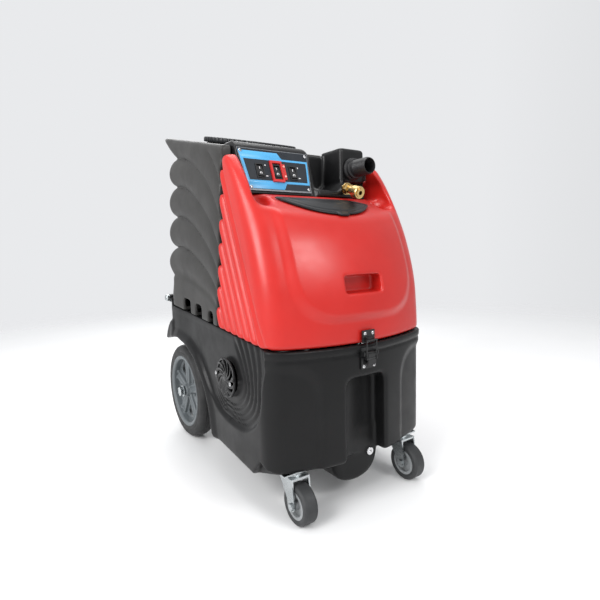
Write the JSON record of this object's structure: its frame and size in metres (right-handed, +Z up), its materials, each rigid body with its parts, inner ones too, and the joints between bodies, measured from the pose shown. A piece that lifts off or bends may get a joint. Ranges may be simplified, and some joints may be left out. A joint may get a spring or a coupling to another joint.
{
  "type": "portable carpet extractor",
  "caption": "Upright carpet cleaning machine: tall ribbed tanks tip back off a wheeled black base, with a switch console, hose ports, a front latch and swivel casters.",
  "frame": {"origin": "on the floor under the middle of the machine", "axes": "+Z up, front towards -Y, +X to the right of someone facing the front"},
  "size_m": [0.4208, 0.7035, 0.8122],
  "materials": {
    "black_shell": "rotomoulded polyethylene, satin",
    "red_shell": "rotomoulded polyethylene, satin gloss",
    "console_black": "moulded, satin",
    "panel_blue": "printed overlay on plate",
    "red_guard": "moulded",
    "rocker_black": "moulded",
    "lamp": "clear lens",
    "steel_zinc": "bright zinc",
    "black_steel": "black powder coat",
    "stainless": "bright stainless",
    "brass": "turned brass",
    "barb_plastic": "moulded",
    "tyre_black": "semi-pneumatic rubber",
    "rim_grey": "moulded nylon, grey",
    "caster_tyre": "grey rubber",
    "caster_core": "moulded, light grey",
    "gasket": "soft rubber",
    "motor_metal": "cast",
    "pipe_white": "PVC",
    "float_plastic": "foamed"
  },
  "bodies": {
    "chassis": {"base_housing": "black_shell", "motor_deck": "steel_zinc", "vacuum_motor": "motor_metal", "solution_pump": "motor_metal", "solution_heater": "motor_metal", "power_inlets": "barb_plastic", "drain_fitting": "stainless", "vent_grille_left": "black_shell", "vent_grille_right": "black_shell", "vent_screws": "stainless", "caster_plate_left": "steel_zinc", "caster_plate_right": "steel_zinc", "rear_axle": "steel_zinc", "axle_nuts": "steel_zinc", "latch_plate": "black_steel", "latch_plate_screws": "stainless", "base_hinge_bracket_left": "black_steel", "base_hinge_bracket_right": "black_steel", "hinge_rod": "steel_zinc", "hinge_nuts": "steel_zinc"},
    "tank_assembly": {"solution_tank": "red_shell", "recovery_tank": "black_shell", "console_housing": "console_black", "panel_plate": "panel_blue", "panel_screws": "stainless", "rocker_frames": "rocker_black", "switch_guard": "red_guard", "guard_lamps": "lamp", "vacuum_barb": "barb_plastic", "coupler_body": "brass", "latch_keeper": "black_steel", "keeper_screws": "stainless", "tank_hinge_bracket": "black_steel", "stand_pipe": "pipe_white", "dump_valve": "barb_plastic"},
    "recovery_lid": {"recovery_lid": "black_shell", "lid_gasket": "gasket"},
    "fill_lid": {"fill_lid": "black_shell"},
    "rocker_left": {"rocker_left": "rocker_black"},
    "rocker_middle": {"rocker_middle": "rocker_black"},
    "rocker_right": {"rocker_right": "rocker_black"},
    "coupler_collar": {"coupler_collar": "brass"},
    "dump_gate": {"dump_gate": "barb_plastic"},
    "float": {"float_ring": "float_plastic"},
    "latch_lever": {"latch_lever": "black_steel"},
    "latch_bail": {"latch_bail": "black_steel"},
    "vacuum_rotor": {"vacuum_rotor": "motor_metal"},
    "rear_wheel_left": {"rear_tyre_left": "tyre_black", "rear_rim_left": "rim_grey"},
    "rear_wheel_right": {"rear_tyre_right": "tyre_black", "rear_rim_right": "rim_grey"},
    "caster_fork_left": {"caster_fork_left": "steel_zinc", "caster_bolt_left": "steel_zinc"},
    "caster_fork_right": {"caster_fork_right": "steel_zinc", "caster_bolt_right": "steel_zinc"},
    "caster_wheel_left": {"caster_core_left": "caster_core", "caster_tyre_left": "caster_tyre"},
    "caster_wheel_right": {"caster_core_right": "caster_core", "caster_tyre_right": "caster_tyre"}
  },
  "joints": [
    {"name": "tank_tilt", "type": "hinge", "parent": "chassis", "child": "tank_assembly", "pos_m": [0, 0.236, 0.388], "axis": [-1, 0, 0], "range_deg": [0, 75]},
    {"name": "recovery_lid_lift", "type": "slide", "parent": "tank_assembly", "child": "recovery_lid", "axis": [0, -0.238, 0.9713], "range_m": [0, 0.12]},
    {"name": "fill_lid_slide", "type": "slide", "parent": "tank_assembly", "child": "fill_lid", "axis": [0, -0.866, -0.5], "range_m": [0, 0.09]},
    {"name": "coupler_collar_slide", "type": "slide", "parent": "tank_assembly", "child": "coupler_collar", "axis": [0, 0.9511, 0.309], "range_m": [0, 0.006], "stiffness_N_per_m": 600},
    {"name": "dump_gate_lift", "type": "slide", "parent": "tank_assembly", "child": "dump_gate", "axis": [0, 0, 1], "range_m": [0, 0.045]},
    {"name": "float_rise", "type": "slide", "parent": "tank_assembly", "child": "float", "axis": [0, 0, 1], "range_m": [0, 0.028]},
    {"name": "latch_lever_swing", "type": "hinge", "parent": "chassis", "child": "latch_lever", "pos_m": [0, -0.345, 0.309], "axis": [-1, 0, 0], "range_deg": [0, 150]},
    {"name": "latch_bail_swing", "type": "hinge", "parent": "latch_lever", "child": "latch_bail", "pos_m": [0, -0.3485, 0.3], "axis": [-1, 0, 0], "range_deg": [-172.5, 0]},
    {"name": "vacuum_rotor_spin", "type": "hinge", "parent": "chassis", "child": "vacuum_rotor", "pos_m": [0, -0.06, 0.2], "axis": [0, 0, 1], "continuous": true},
    {"name": "rocker_left_press", "type": "hinge", "parent": "tank_assembly", "child": "rocker_left", "pos_m": [-0.127, -0.16692, 0.6644], "axis": [1, 0, 0], "range_deg": [0, 14]},
    {"name": "rocker_middle_press", "type": "hinge", "parent": "tank_assembly", "child": "rocker_middle", "pos_m": [-0.088, -0.16692, 0.6644], "axis": [1, 0, 0], "range_deg": [0, 14]},
    {"name": "rocker_right_press", "type": "hinge", "parent": "tank_assembly", "child": "rocker_right", "pos_m": [-0.049, -0.16692, 0.6644], "axis": [1, 0, 0], "range_deg": [0, 14]},
    {"name": "rear_wheel_left_spin", "type": "hinge", "parent": "chassis", "child": "rear_wheel_left", "pos_m": [-0.147, 0.225, 0.127], "axis": [1, 0, 0], "continuous": true},
    {"name": "caster_swivel_left", "type": "hinge", "parent": "chassis", "child": "caster_fork_left", "pos_m": [-0.143, -0.282, 0.09], "axis": [0, 0, 1], "continuous": true},
    {"name": "caster_wheel_left_spin", "type": "hinge", "parent": "caster_fork_left", "child": "caster_wheel_left", "pos_m": [-0.143, -0.307, 0.0381], "axis": [1, 0, 0], "continuous": true},
    {"name": "rear_wheel_right_spin", "type": "hinge", "parent": "chassis", "child": "rear_wheel_right", "pos_m": [0.147, 0.225, 0.127], "axis": [1, 0, 0], "continuous": true},
    {"name": "caster_swivel_right", "type": "hinge", "parent": "chassis", "child": "caster_fork_right", "pos_m": [0.143, -0.282, 0.09], "axis": [0, 0, 1], "continuous": true},
    {"name": "caster_wheel_right_spin", "type": "hinge", "parent": "caster_fork_right", "child": "caster_wheel_right", "pos_m": [0.143, -0.307, 0.0381], "axis": [1, 0, 0], "continuous": true}
  ],
  "couplings": [
    {"joint": "latch_bail_swing", "follows": "latch_lever_swing", "ratio": -1.15}
  ]
}
